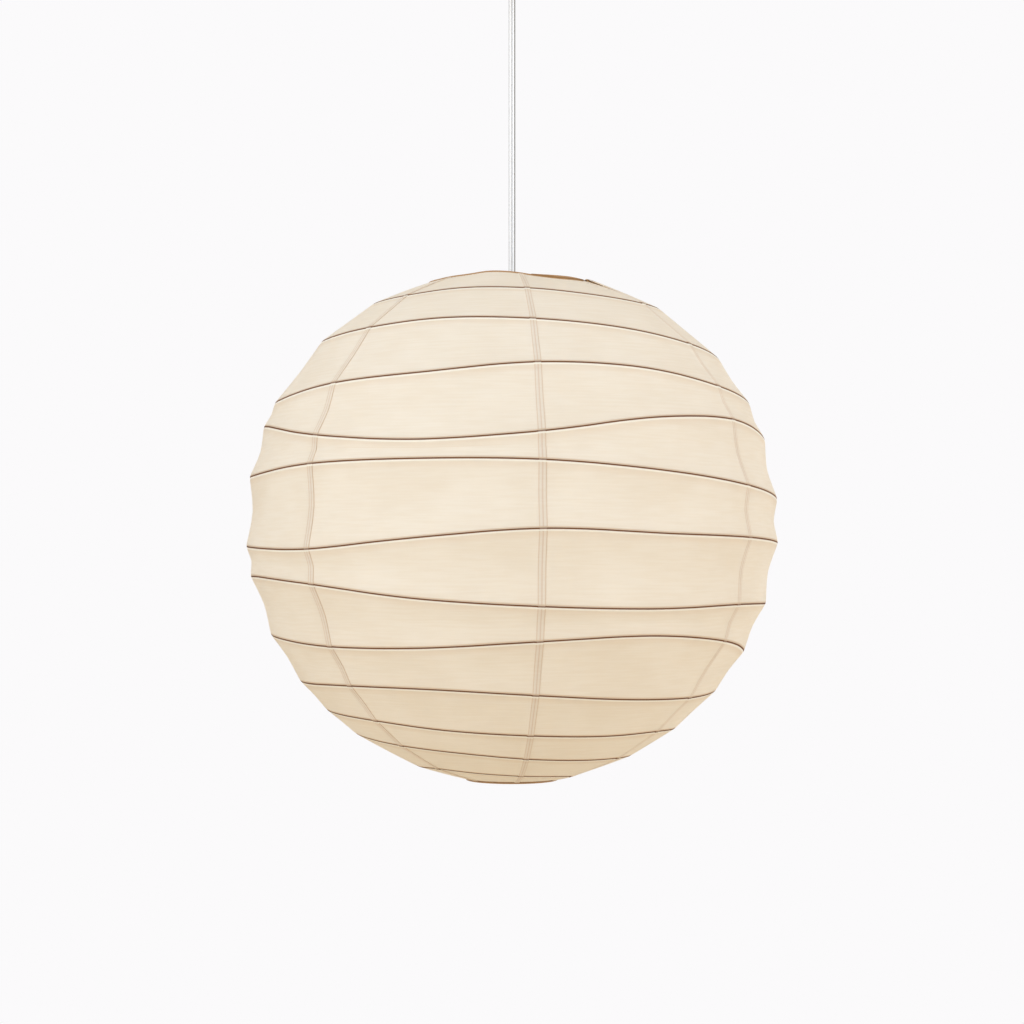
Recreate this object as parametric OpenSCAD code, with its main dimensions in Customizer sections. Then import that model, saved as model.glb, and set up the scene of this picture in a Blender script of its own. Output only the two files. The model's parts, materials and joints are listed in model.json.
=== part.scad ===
// Round paper lantern pendant. Seven paper gores are pasted over one bamboo strip that winds
// down as an uneven spiral. A steel stretcher on the lampholder spreads the shade, and a flat
// twin flex hangs it from a ceiling hook under a cup.
// Millimetres, +Z up, origin on the ceiling at the middle of the ceiling plate. Azimuth is
// counted from the front, -Y, towards +X.

/* [Shade] */
// Diameter of the shade over its widest rib
shade_d = 450; // [360:10:560]
// Height of the shade above its widest rib
upper_h = 207; // [160:1:260]
// Height of the shade below its widest rib
lower_h = 213; // [160:1:260]
// Shape of the upper half: 2 is an ellipse, more is squarer
upper_fullness = 2.1; // [1.9:0.05:2.3]
// Shape of the lower half: 2 is an ellipse, less is more pointed
lower_fullness = 1.97; // [1.8:0.01:2.2]
// Diameter of the paper at the upper opening
top_opening_d = 145; // [124:1:180]
// Diameter of the paper at the lower opening
bottom_opening_d = 80; // [76:1:110]
// Thickness of the paper
paper_t = 0.4; // [0.3:0.05:0.8]
// How far the paper sinks between two ribs, as a share of their distance
paper_dip = 0.03; // [0:0.01:0.05]

/* [Bamboo] */
// Width of the rib strip along the paper
rib_w = 2.4; // [1.6:0.1:3.2]
// Thickness of the rib strip
rib_t = 1.6; // [1:0.1:2.4]
// Thickness of the two round rim hoops
hoop_d = 3; // [2.4:0.1:4]

/* [Hanging] */
// Drop from the ceiling to the upper rim
drop = 345; // [300:5:1500]
// Width of the twin flex
cord_w = 5.8; // [4.8:0.1:6.4]
// Thickness of the twin flex
cord_t = 2.9; // [2.4:0.1:3.2]

/* [Ceiling fitting] */
// Diameter of the ceiling plate
plate_d = 64; // [58:1:80]
// Thickness of the ceiling plate
plate_t = 2.5; // [2:0.1:4]
// Distance between the two screw holes
screw_spacing = 50; // [40:1:54]
// Diameter of each screw hole
screw_hole_d = 4.5; // [3.5:0.1:5.5]
// Wire of the ceiling hook
hook_wire = 3.5; // [3:0.1:4]
// Wire of the hanging link
link_wire = 2.5; // [2:0.1:3]
// Diameter of the cup
cup_d = 108; // [96:1:130]
// Height of the cup
cup_h = 60; // [56:1:80]
// Wall of the cup
cup_wall = 2; // [1.5:0.1:3]
// Gap between the cup's rim and the ceiling
cup_gap = 10; // [8:1:14]

/* [Lampholder] */
// Diameter of the lampholder's cap
holder_d = 39; // [37:0.5:44]
// Length of the holder's body below the stretcher
holder_l = 32; // [28:1:40]
// Diameter of the threaded ring that clamps the stretcher
clamp_ring_d = 56; // [50:1:60]
// Height of the stretcher's plate below the upper rim
arm_rise = 49; // [42:1:60]

/* [Bulb] */
// Diameter of the bulb
bulb_d = 55; // [45:1:56]
// Length of the bulb with its screw cap
bulb_l = 100; // [90:1:112]

/* [Stretcher] */
// Wire of the two sprung legs
leg_wire = 2.5; // [2:0.1:2.8]
// Width of each flat arm
arm_w = 8; // [5:0.5:12]
// Thickness of the stretcher's plate and lugs
steel_t = 1.5; // [1:0.1:2]

/* [Hidden] */
$fn = 48;

// Running gap of a pin in its hole, and the rest gap of a part on its seat
pin_gap = 0.08;
seat_gap = 0.3;

// ---- the shade's outline ----
gores = 7;
gore_steps = 6;
whole_turns = 12;
tail_gores = 4;
spiral_turns = whole_turns + tail_gores / gores;
step_az = 360 / (gores * gore_steps);
start_az = 57.4;

// How far each turn of the rib strays down the paper from an even spiral, in mm, at each of
// the seven seams and halfway between them. The spiral starts at the upper rim, so the first
// value is 0.
stray = [
  [0, -1.5, -2.5, -1.5, 0.5, 4, 8, 12.5, 19, 22.5, 17.5, 7.5, 7, 12],
  [13.5, 10, 10.5, 12.5, 15, 18, 21.5, 25.5, 29, 30.5, 22.5, 13.5, 13, 17],
  [25, 31, 32.5, 33, 35.5, 39.5, 43.5, 47.5, 51.5, 50.5, 38.5, 29.5, 17.5, 16],
  [24.5, 31, 30.5, 28, 26, 25, 24.5, 25.5, 27, 29, 39, 43, 33.5, 16],
  [9, 18, 19.5, 19.5, 20, 21, 22, 23, 25.5, 24, 15.5, 11, 9, 12.5],
  [17.5, 22, 23, 24, 26, 29, 32, 34.5, 35, 36, 35, 23.5, 12.5, 12.5],
  [11, 11, 11.5, 13, 15.5, 17.5, 18.5, 18, 18, 14, 17, 25, 28, 27],
  [21, 18, 15, 13, 13.5, 15.5, 18.5, 20.5, 21.5, 22, 24, 20, 10.5, 3],
  [6.5, 16.5, 17.5, 16.5, 18, 20, 21.5, 22, 22.5, 20, 15, 12.5, 14.5, 17.5],
  [16.5, 10.5, 8, 6.5, 5, 3.5, 3.5, 5, 7.5, 6.5, 7.5, 13, 15.5, 15.5],
  [11, 10, 5.5, 0, -3.5, -6, -7, -7.5, -7.5, -8.5, -4.5, 0, 6, 8.5],
  [7.5, 6.5, 5, 3.5, 2.5, 2, 2.5, 2.5, 3.5, 1, -6, -2, 2, 4],
  [9, 12.5, 11.5, 10.5, 11, 11.5, 10.5, 7.5, 0]
];
stray_list = [for (turn = stray) for (v = turn) v];

rim_z = -drop;
widest_z = rim_z - upper_h;
foot_z = widest_z - lower_h;
shade_r = shade_d / 2;

// The outline is half a superellipse in each half, run through by an angle from the top, phi.
function fullness(phi) = phi < 90 ? upper_fullness : lower_fullness;
phi_top = asin(pow(top_opening_d / shade_d, upper_fullness / 2));
phi_foot = 180 - asin(pow(bottom_opening_d / shade_d, lower_fullness / 2));
upper_axis = upper_h / pow(cos(phi_top), 2 / upper_fullness);
lower_axis = lower_h / pow(abs(cos(phi_foot)), 2 / lower_fullness);
mm_per_degree = shade_r * PI / 180;

// [radius, z] of the paper's outer face at phi, and the unit vectors out of and down the face
function outline(phi) = [
  shade_r * pow(sin(phi), 2 / fullness(phi)),
  phi < 90
    ? widest_z + upper_axis * pow(cos(phi), 2 / fullness(phi))
    : widest_z - lower_axis * pow(-cos(phi), 2 / fullness(phi))
];
function outward(phi) = [sin(phi), cos(phi)];
function downward(phi) = [cos(phi), -sin(phi)];
function place(rz, az) = [rz[0] * sin(az), -rz[0] * cos(az), rz[1]];

// Smooth curve through the strays, as a function of the number of turns from the start
function knot(i) = stray_list[max(0, min(len(stray_list) - 1, i))];
function curve(a, b, c, d, u) =
  b + u * (c - a) / 2 + u * u * (a - 2.5 * b + 2 * c - d / 2)
  + u * u * u * (1.5 * b - a / 2 - 1.5 * c + d / 2);
strays_per_turn = 2 * gores;
function stray_at(turns) =
  let (at = turns * strays_per_turn, i = floor(at), u = at - i)
  curve(knot(i - 1), knot(i), knot(i + 1), knot(i + 2), u);

// The rib never comes nearer to a rim hoop than lying beside it.
beside_hoop = (hoop_d / 2 + rib_w / 2 + 0.5) / mm_per_degree;
function rib_phi(turns) =
  let (even = phi_top + turns / spiral_turns * (phi_foot - phi_top))
  max(phi_top + beside_hoop,
      min(phi_foot - beside_hoop, even + stray_at(turns) / mm_per_degree));

// ---- solids swept through rings of points ----
module sweep(rings) {
  n = len(rings[0]);
  last = len(rings) - 1;
  side_faces = [
    for (i = [0:last - 1]) for (j = [0:n - 1])
    let (a = i * n + j, b = i * n + (j + 1) % n)
    each [[a, b, b + n], [a, b + n, a + n]]
  ];
  first_cap = [[for (j = [n - 1:-1:0]) j]];
  last_cap = [[for (j = [0:n - 1]) last * n + j]];
  polyhedron(
    points = [for (ring = rings) each ring],
    faces = concat(first_cap, side_faces, last_cap),
    convexity = 10
  );
}

// A strip with a rectangular section, on the paper's inner side
rib_gap = 0.35;
rib_inset = paper_t + rib_gap + rib_t / 2;
function rib_ring(phi, az) =
  let (c = outline(phi) - rib_inset * outward(phi),
       n = outward(phi) * rib_t / 2, d = downward(phi) * rib_w / 2)
  [place(c + n - d, az), place(c + n + d, az), place(c - n + d, az), place(c - n - d, az)];

// The gap that keeps the spliced strips apart, in turns
splice_gap = 0.0004;
module rib(first_step, steps) {
  turns_per_step = 1 / (gores * gore_steps);
  color("saddlebrown") sweep([
    for (i = [0:steps])
    let (turns = (first_step + i) * turns_per_step + (i == 0 ? splice_gap : 0))
    rib_ring(rib_phi(turns), start_az + turns * 360)
  ]);
}
module rib_turn(k) {
  rib((k - 1) * gores * gore_steps, gores * gore_steps);
}
module rib_tail() {
  rib(whole_turns * gores * gore_steps, tail_gores * gore_steps);
}

// ---- paper ----
// The angles at which the paper bends at one azimuth: the rim, each rib and the foot, with a
// point between each two where the paper sinks in.
function rib_crossings(gore, part_turn) =
  [for (k = [0:gore <= tail_gores ? whole_turns : whole_turns - 1]) rib_phi(k + part_turn)];
function paper_rows(phis) = [
  for (i = [0:len(phis) - 1])
  let (here = outline(phis[i]))
  each i == len(phis) - 1
    ? [[here, outward(phis[i])]]
    : let (next = outline(phis[i + 1]), mid = (phis[i] + phis[i + 1]) / 2)
      [[here, outward(phis[i])],
       [(here + next) / 2 - paper_dip * norm(next - here) * outward(mid), outward(mid)]]
];
module paper_gore(k) {
  stations = [
    for (i = [0:gore_steps])
    let (part_turn = (k - 1 + i / gore_steps) / gores)
    [start_az + part_turn * 360,
     paper_rows(concat([phi_top], rib_crossings(k, part_turn), [phi_foot]))]
  ];
  // one closed ring of points at each azimuth: down the outer face, up the inner face
  rings = [
    for (s = stations)
    concat(
      [for (row = s[1]) place(row[0], s[0])],
      [for (i = [len(s[1]) - 1:-1:0]) place(s[1][i][0] - paper_t * s[1][i][1], s[0])]
    )
  ];
  color("antiquewhite") gore_solid(rings);
}
// As sweep(), but its two long edges are thin walls built from quads
module gore_solid(rings) {
  n = len(rings[0]);
  last = len(rings) - 1;
  half = n / 2;
  side_faces = [
    for (i = [0:last - 1]) for (j = [0:n - 1])
    let (a = i * n + j, b = i * n + (j + 1) % n)
    each [[a, b, b + n], [a, b + n, a + n]]
  ];
  edge_faces = [
    for (j = [0:half - 2])
    let (a = j, b = j + 1, c = n - 2 - j, d = n - 1 - j, e = last * n)
    each [[a, c, b], [a, d, c], [a + e, b + e, c + e], [a + e, c + e, d + e]]
  ];
  polyhedron(
    points = [for (ring = rings) each ring],
    faces = concat(side_faces, edge_faces),
    convexity = 10
  );
}

// ---- rim hoops ----
top_hoop_r = top_opening_d / 2 - paper_t - hoop_d / 2 - 0.2;
bottom_hoop_r = bottom_opening_d / 2 - paper_t - hoop_d / 2 - 0.2;
module hoop(radius, z) {
  color("saddlebrown") translate([0, 0, z])
    rotate_extrude() translate([radius, 0]) circle(d = hoop_d);
}
// The upper hoop's loose end, which lies on it and bows up a little
lap_from_az = 12;
lap_to_az = 56;
lap_bow = 2.2;
lap_steps = 10;
module top_hoop_lap() {
  base = rim_z + hoop_d / 2 + 0.1;
  color("peru") sweep([
    for (i = [0:lap_steps])
    let (u = i / lap_steps, az = lap_from_az + u * (lap_to_az - lap_from_az),
         low = base + lap_bow * sin(180 * u), high = low + rib_t * (0.5 + 0.5 * sin(180 * u)))
    [place([top_hoop_r + rib_w / 2, high], az), place([top_hoop_r + rib_w / 2, low], az),
     place([top_hoop_r - rib_w / 2, low], az), place([top_hoop_r - rib_w / 2, high], az)]
  ]);
}

// ---- ceiling plate, hook and link ----
boss_d = 14;
boss_h = 6;
hook_r = 6;
link_r = 6.5;
rest_gap = 0.05;
hook_top_z = -plate_t - boss_h - 1.5;
hook_mid_z = hook_top_z - hook_r;
hook_low_z = hook_mid_z - hook_r;
link_mid_z = hook_low_z + hook_wire / 2 + link_wire / 2 + rest_gap - link_r;
link_low_z = link_mid_z - link_r;

module ceiling_plate() {
  color("lightgray") difference() {
    union() {
      translate([0, 0, -plate_t]) cylinder(d = plate_d, h = plate_t);
      translate([0, 0, -plate_t - boss_h]) cylinder(d = boss_d, h = boss_h);
    }
    for (side = [-1, 1]) translate([side * screw_spacing / 2, 0, -plate_t - 1])
      cylinder(d = screw_hole_d, h = plate_t + 2);
    translate([0, 0, -plate_t - boss_h - 1]) cylinder(d = hook_wire + 0.1, h = boss_h + 2);
  }
}
module ceiling_hook() {
  color("silver") {
    translate([0, 0, hook_top_z]) cylinder(d = hook_wire, h = -plate_t - hook_top_z + 0.8);
    translate([0, 0, hook_mid_z]) rotate([90, 0, 0]) rotate([0, 0, -180])
      rotate_extrude(angle = 270) translate([hook_r, 0]) circle(d = hook_wire);
  }
}
module hanging_link() {
  color("silver") translate([0, 0, link_mid_z]) rotate([0, 90, 0])
    rotate_extrude() translate([link_r, 0]) circle(d = link_wire);
}

// ---- cord grip, terminal block and cord ----
eye_r = 2.2;
eye_disc_r = 4.5;
eye_t = 2;
grip_d = 13;
grip_l = 16;
eye_rise = link_r - sqrt(link_r * link_r - eye_t * eye_t / 4);
eye_z = link_low_z + link_wire / 2 + eye_rise + rest_gap - eye_r;
grip_top_z = eye_z - eye_disc_r;
grip_mouth_z = grip_top_z - grip_l;
grip_screw_d = 3;
grip_screw_z = grip_top_z - 10;

module cord_grip() {
  color("whitesmoke") difference() {
    union() {
      translate([0, 0, grip_mouth_z]) cylinder(d = grip_d, h = grip_l);
      translate([0, eye_t / 2, eye_z]) rotate([90, 0, 0]) cylinder(r = eye_disc_r, h = eye_t);
      translate([-eye_disc_r, -eye_t / 2, grip_top_z - 1])
        cube([2 * eye_disc_r, eye_t, eye_z - grip_top_z + 1]);
    }
    translate([0, eye_t, eye_z]) rotate([90, 0, 0]) cylinder(r = eye_r, h = 2 * eye_t);
    translate([0, -grip_d, grip_screw_z]) rotate([-90, 0, 0])
      cylinder(d = grip_screw_d + 0.1, h = grip_d - 2);
  }
}
module grip_screw() {
  head_h = 1.6;
  color("silver") translate([0, -grip_d / 2 - head_h - 0.1, grip_screw_z]) rotate([-90, 0, 0]) {
    cylinder(d = 5.4, h = head_h);
    translate([0, 0, head_h / 2]) cylinder(d = grip_screw_d, h = 4.6);
  }
}

lead_d = 2.2;
lead_pitch = 5;
lead_l = 8;
lead_z = grip_top_z - 6;
block_x = grip_d / 2 + lead_l;
block_size = [16, 2 * lead_pitch + 8, 11];
turret_d = 7;
turret_h = 3;
module supply_leads() {
  color("steelblue") for (side = [-1, 1]) {
    from_x = sqrt(grip_d * grip_d / 4 - pow((lead_pitch - lead_d) / 2, 2)) + rest_gap;
    translate([from_x, side * lead_pitch / 2, lead_z]) rotate([0, 90, 0])
      cylinder(d = lead_d, h = block_x - from_x - rest_gap);
  }
}
module terminal_block() {
  color("white") difference() {
    union() {
      translate([block_x, -block_size[1] / 2, lead_z - block_size[2] / 2]) cube(block_size);
      for (side = [-1, 1])
        translate([block_x + block_size[0] / 2, side * lead_pitch, lead_z + block_size[2] / 2 - 1])
          cylinder(d = turret_d, h = turret_h + 1);
    }
    for (side = [-1, 1])
      translate([block_x + block_size[0] / 2, side * lead_pitch, lead_z])
        cylinder(d = 3.2, h = block_size[2]);
  }
}
module terminal_screws() {
  color("goldenrod") for (side = [-1, 1])
    translate([block_x + block_size[0] / 2, side * lead_pitch, lead_z + 0.2])
      cylinder(d = 3, h = block_size[2] / 2 + 1.5);
}

// The flex hangs taut from the grip's mouth to the lampholder's cap.
stretcher_z = rim_z - arm_rise;
cap_h = 30;
cap_neck_h = 5;
cap_foot_z = stretcher_z + 2.3;
cord_end_z = cap_foot_z + cap_h + cap_neck_h;
cord_rings = 20;
cord_sides = 8;
module cord() {
  color("white") sweep([
    for (i = [0:cord_rings])
    let (z = grip_mouth_z + (cord_end_z - grip_mouth_z) * i / cord_rings)
    [for (j = [0:cord_sides - 1])
     let (turn = (j + 0.5) * 360 / cord_sides, reach = 1 / cos(180 / cord_sides))
     [reach * cord_w / 2 * cos(turn), reach * cord_t / 2 * sin(turn), z]]
  ]);
}

// ---- cup ----
cup_rim_z = -cup_gap;
cup_low_z = cup_rim_z - cup_h;
cup_corner = 12;
gland_d = 10;
gland_bore = cord_w + 0.8;
gland_flange_d = 20;
stem_d = 13;
stem_l = 11;
flange_t = 3;
gland_screw_z = cup_low_z - flange_t - stem_l / 2;

module cup_profile(radius, low, corner) {
  square_h = cup_rim_z - low;
  translate([0, low]) square([radius - corner, square_h]);
  translate([0, low + corner]) square([radius, square_h - corner]);
  translate([radius - corner, low + corner]) circle(r = corner);
}
module ceiling_cup() {
  color("white") rotate_extrude() difference() {
    cup_profile(cup_d / 2, cup_low_z, cup_corner);
    cup_profile(cup_d / 2 - cup_wall, cup_low_z + cup_wall, cup_corner - cup_wall);
    translate([0, cup_low_z - 1]) square([gland_d / 2 + 0.1, cup_wall + 2]);
    translate([-cup_d, cup_low_z - 1]) square([cup_d, cup_h + 2]);
    translate([0, cup_rim_z - 0.01]) square([cup_d, 1]);
  }
}
module cup_gland() {
  color("whitesmoke") difference() {
    union() {
      translate([0, 0, cup_low_z]) cylinder(d = gland_d, h = cup_wall + 6);
      translate([0, 0, cup_low_z - flange_t]) cylinder(d = gland_flange_d, h = flange_t);
      translate([0, 0, cup_low_z - flange_t - stem_l]) cylinder(d = stem_d, h = stem_l);
    }
    translate([0, 0, cup_low_z - flange_t - stem_l - 1])
      cylinder(d = gland_bore, h = stem_l + flange_t + cup_wall + 8);
    translate([0, -stem_d, gland_screw_z]) rotate([-90, 0, 0]) cylinder(d = 3.1, h = stem_d);
  }
}
module gland_nut() {
  color("whitesmoke") translate([0, 0, cup_low_z + cup_wall]) difference() {
    cylinder(d = 18, h = 5, $fn = 6);
    translate([0, 0, -1]) cylinder(d = gland_d + 0.1, h = 7);
  }
}
module gland_screw() {
  tip = cord_t / 2 + seat_gap;
  color("silver") translate([0, -stem_d / 2, gland_screw_z]) rotate([-90, 0, 0])
    cylinder(d = 3, h = stem_d / 2 - tip);
}

// ---- lampholder ----
body_d = holder_d - 1.8;
flange_d = holder_d + 7;
flange_h = 2;
shell_in_d = 27.2;
shell_out_d = shell_in_d + 2;
bore_d = shell_out_d + 0.4;
spigot_h = 10;
carrier_h = 12;
cap_wall = 2;
dome_corner = 11;

module holder_cap() {
  inner_r = holder_d / 2 - cap_wall;
  color("white") translate([0, 0, cap_foot_z]) rotate_extrude() difference() {
    union() {
      square([holder_d / 2, cap_h - dome_corner]);
      square([holder_d / 2 - dome_corner, cap_h]);
      intersection() {
        translate([holder_d / 2 - dome_corner, cap_h - dome_corner]) circle(r = dome_corner);
        square([holder_d, cap_h]);
      }
      square([cord_w / 2 + 3, cap_h + cap_neck_h - 0.05]);
    }
    square([inner_r, cap_h - dome_corner]);
    square([inner_r - dome_corner + cap_wall, cap_h - cap_wall]);
    intersection() {
      translate([holder_d / 2 - dome_corner, cap_h - dome_corner])
        circle(r = dome_corner - cap_wall);
      square([holder_d, cap_h]);
    }
  }
}
module holder_body() {
  color("white") difference() {
    union() {
      translate([0, 0, stretcher_z - holder_l]) cylinder(d = body_d, h = holder_l + flange_h);
      translate([0, 0, stretcher_z]) cylinder(d = flange_d, h = flange_h);
      translate([0, 0, stretcher_z])
        cylinder(d = holder_d - 2 * cap_wall - 0.4, h = flange_h + spigot_h);
    }
    translate([0, 0, stretcher_z - holder_l - 1])
      cylinder(d = bore_d, h = holder_l + flange_h + spigot_h + 2);
  }
}
carrier_foot_z = stretcher_z + 1;
module contact_carrier() {
  color("linen") difference() {
    translate([0, 0, carrier_foot_z]) cylinder(d = shell_out_d, h = carrier_h);
    for (side = [-1, 1]) translate([side * 8, 0, carrier_foot_z + 4])
      cylinder(d = 3.1, h = carrier_h);
  }
}
module carrier_screws() {
  color("goldenrod") for (side = [-1, 1])
    translate([side * 8, 0, carrier_foot_z + 4.2]) {
      cylinder(d = 3, h = carrier_h - 3.6);
      translate([0, 0, carrier_h - 4.1]) cylinder(d = 5, h = 1.6);
    }
}
module holder_leads() {
  foot = carrier_foot_z + carrier_h + 1.6;
  color("steelblue") for (side = [-1, 1])
    translate([side * 4, 0, foot]) cylinder(d = lead_d, h = cap_foot_z + cap_h - cap_wall - foot - 0.2);
}
module centre_contact() {
  color("gold") translate([-9, -2.5, carrier_foot_z - 1.05]) cube([18, 5, 1]);
}
module thread_shell() {
  shell_h = 24;
  color("gold") translate([0, 0, carrier_foot_z - 0.1 - shell_h]) difference() {
    cylinder(d = shell_out_d, h = shell_h);
    translate([0, 0, -1]) cylinder(d = shell_in_d, h = shell_h + 2);
  }
}
module clamp_ring() {
  ring_h = 9;
  grips = 12;
  color("white") translate([0, 0, stretcher_z - steel_t - ring_h]) difference() {
    union() {
      translate([0, 0, ring_h - 3]) cylinder(d = clamp_ring_d, h = 3);
      cylinder(d = clamp_ring_d - 8, h = ring_h);
    }
    translate([0, 0, -1]) cylinder(d = body_d + 0.4, h = ring_h + 2);
    for (i = [0:grips - 1]) rotate([0, 0, (i + 0.5) * 360 / grips])
      translate([clamp_ring_d / 2 + 1, 0, -1]) cylinder(d = 6, h = ring_h + 2);
  }
}

// ---- stretcher ----
leg_clear = 2.15;
leg_x = bottom_hoop_r - hoop_d / 2 - leg_wire / 2 - leg_clear;
lug_reach = 3;
lug_drop = 8;
lug_t = 2;
pivot_z = stretcher_z - steel_t - lug_drop + lug_reach;
notch_r = hoop_d / 2 + seat_gap;

module stretcher_plate() {
  ear_w = 12;
  color("gainsboro") difference() {
    union() {
      translate([0, 0, stretcher_z - steel_t]) cylinder(d = clamp_ring_d + 4, h = steel_t);
      for (turn = [0, 180]) rotate([0, 0, turn]) {
        translate([body_d / 2 + 3, -ear_w / 2, stretcher_z - steel_t])
          cube([leg_x + lug_reach - body_d / 2 - 3, ear_w, steel_t]);
        translate([leg_x - lug_reach, -lug_t / 2, stretcher_z - steel_t - lug_drop])
          cube([2 * lug_reach, lug_t, lug_drop + steel_t / 2]);
      }
    }
    translate([0, 0, stretcher_z - steel_t - 1]) cylinder(d = body_d + 0.6, h = steel_t + 2);
    for (turn = [0, 180]) rotate([0, 0, turn]) translate([leg_x, lug_t, pivot_z])
      rotate([90, 0, 0]) cylinder(d = leg_wire + 2 * pin_gap, h = 2 * lug_t);
  }
}
// One flat arm, drawn for the right side: welded to the plate at its foot, with a notch at its
// tip that carries the upper hoop
module stretcher_arm() {
  r = top_hoop_r;
  root = flange_d / 2 + 0.8;
  bend = clamp_ring_d / 2 + 2;
  tip = r + 2.5;
  color("gainsboro") translate([0, arm_w / 2, rim_z]) rotate([90, 0, 0])
    linear_extrude(height = arm_w) difference() {
      polygon([
        [root, 0.05 - arm_rise], [bend + 1.6, 0.05 - arm_rise], [r + 0.8, -4.4], [tip, -3],
        [tip, -0.95], [r - 1.9, -0.95], [r - 1.9, 0.6], [r - 3.2, 0.6], [r - 3.4, -3.6],
        [bend + 0.9, 1.65 - arm_rise], [root, 1.65 - arm_rise]
      ]);
      translate([r, 0]) circle(r = notch_r);
    }
}
module stretcher_arm_right() { stretcher_arm(); }
module stretcher_arm_left() { rotate([0, 0, 180]) stretcher_arm(); }

// One leg, drawn for the right side: a pin in the lug, a straight run beside it and a flattened
// foot, whose shelf lies over the lower hoop and whose toe stands inside it. Nothing reaches
// down outside the hoop, so the leg comes free when it is squeezed in.
run_y = lug_t / 2 + leg_wire / 2 + 0.75;
shelf_z = notch_r + 0.1;
foot_h = 14;
foot_w = 5;
foot_mid_y = 1;
module stretcher_leg() {
  r = bottom_hoop_r;
  x = leg_x;
  head_y = lug_t / 2 + 0.3;
  color("silver") {
    translate([x, run_y, pivot_z]) rotate([90, 0, 0]) cylinder(d = leg_wire, h = run_y + head_y + 1);
    translate([x, -head_y, pivot_z]) rotate([90, 0, 0]) cylinder(d = leg_wire + 1.4, h = 1.2);
    translate([x, run_y, pivot_z]) sphere(d = leg_wire);
    translate([x, run_y, foot_z + foot_h - 1]) cylinder(d = leg_wire, h = pivot_z - foot_z - foot_h + 1);
    translate([0, foot_mid_y + foot_w / 2, foot_z]) rotate([90, 0, 0])
      linear_extrude(height = foot_w) difference() {
        polygon([
          [x - 1.1, foot_h], [x + 1.1, foot_h], [r + 2.5, 5], [r + 2.5, shelf_z], [r - 1, shelf_z],
          [r - notch_r - 0.05, -1.2], [x + 0.2, -1.2], [x - 1.1, 1.2]
        ]);
        translate([r, 0]) circle(r = notch_r);
      }
  }
}
module stretcher_leg_right() { stretcher_leg(); }
module stretcher_leg_left() { rotate([0, 0, 180]) stretcher_leg(); }

// ---- bulb, standing tip up in the holder ----
tip_z = carrier_foot_z - 1.05 - seat_gap;
bulb_low_z = tip_z - bulb_l;
bulb_cap_d = shell_in_d - 0.8;
contact_h = 1.5;
insulator_h = 3.5;
cap_skirt_h = 21;
neck_z = tip_z - contact_h - insulator_h - cap_skirt_h;
dome_r = bulb_d / 2;
dome_mid_z = bulb_low_z + dome_r;
dome_open_z = dome_mid_z + dome_r / 2;
dome_open_r = dome_r * sqrt(3) / 2;
dome_wall = 1;
housing_wall = 2;
board_t = 1.6;

module bulb_contact() {
  color("silver") translate([0, 0, tip_z - contact_h]) cylinder(d = 9, h = contact_h);
}
module bulb_insulator() {
  color("black") translate([0, 0, tip_z - contact_h - insulator_h])
    cylinder(d1 = bulb_cap_d - 6, d2 = 12, h = insulator_h);
}
module bulb_cap() {
  color("silver") translate([0, 0, neck_z]) difference() {
    cylinder(d = bulb_cap_d, h = cap_skirt_h);
    translate([0, 0, -1]) cylinder(d = bulb_cap_d - 1.2, h = cap_skirt_h - 1);
  }
}
module bulb_housing() {
  neck_r = bulb_cap_d / 2 - 0.2;
  color("white") rotate_extrude() polygon([
    [neck_r, neck_z], [neck_r, neck_z - 4], [dome_open_r, dome_open_z + 1],
    [dome_open_r, dome_open_z], [dome_open_r - housing_wall, dome_open_z],
    [dome_open_r - housing_wall, dome_open_z + 1], [neck_r - housing_wall, neck_z - 4],
    [neck_r - housing_wall, neck_z]
  ]);
}
module led_board() {
  color("white") translate([0, 0, dome_open_z - board_t - 0.05])
    cylinder(r = dome_open_r - dome_wall - 0.6, h = board_t);
}
module led_driver() {
  color("green") translate([-8, -board_t / 2, dome_open_z])
    cube([16, board_t, neck_z - dome_open_z + 8]);
}
module bulb_dome() {
  color("white") translate([0, 0, dome_mid_z]) difference() {
    sphere(r = dome_r, $fn = 64);
    sphere(r = dome_r - dome_wall, $fn = 64);
    translate([-bulb_d, -bulb_d, dome_open_z - dome_mid_z - 0.05]) cube(2 * bulb_d);
  }
}

ceiling_plate();
ceiling_hook();
hanging_link();
cord_grip();
grip_screw();
supply_leads();
terminal_block();
terminal_screws();
cord();
ceiling_cup();
cup_gland();
gland_nut();
gland_screw();
holder_cap();
holder_leads();
contact_carrier();
carrier_screws();
centre_contact();
thread_shell();
holder_body();
clamp_ring();
stretcher_plate();
stretcher_arm_left();
stretcher_arm_right();
stretcher_leg_left();
stretcher_leg_right();
bulb_dome();
bulb_housing();
led_board();
led_driver();
bulb_cap();
bulb_insulator();
bulb_contact();
hoop(top_hoop_r, rim_z);  // top_hoop
top_hoop_lap();
hoop(bottom_hoop_r, foot_z);  // bottom_hoop
rib_turn(1);  // rib_turn_1
rib_turn(2);  // rib_turn_2
rib_turn(3);  // rib_turn_3
rib_turn(4);  // rib_turn_4
rib_turn(5);  // rib_turn_5
rib_turn(6);  // rib_turn_6
rib_turn(7);  // rib_turn_7
rib_turn(8);  // rib_turn_8
rib_turn(9);  // rib_turn_9
rib_turn(10);  // rib_turn_10
rib_turn(11);  // rib_turn_11
rib_turn(12);  // rib_turn_12
rib_tail();
paper_gore(1);  // paper_gore_1
paper_gore(2);  // paper_gore_2
paper_gore(3);  // paper_gore_3
paper_gore(4);  // paper_gore_4
paper_gore(5);  // paper_gore_5
paper_gore(6);  // paper_gore_6
paper_gore(7);  // paper_gore_7
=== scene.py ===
"""Looks of a round paper lantern pendant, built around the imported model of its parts.

Metres, +Z up, origin on the ceiling. Azimuth is counted from the front, -Y, towards +X.
"""

import json
import math

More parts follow.
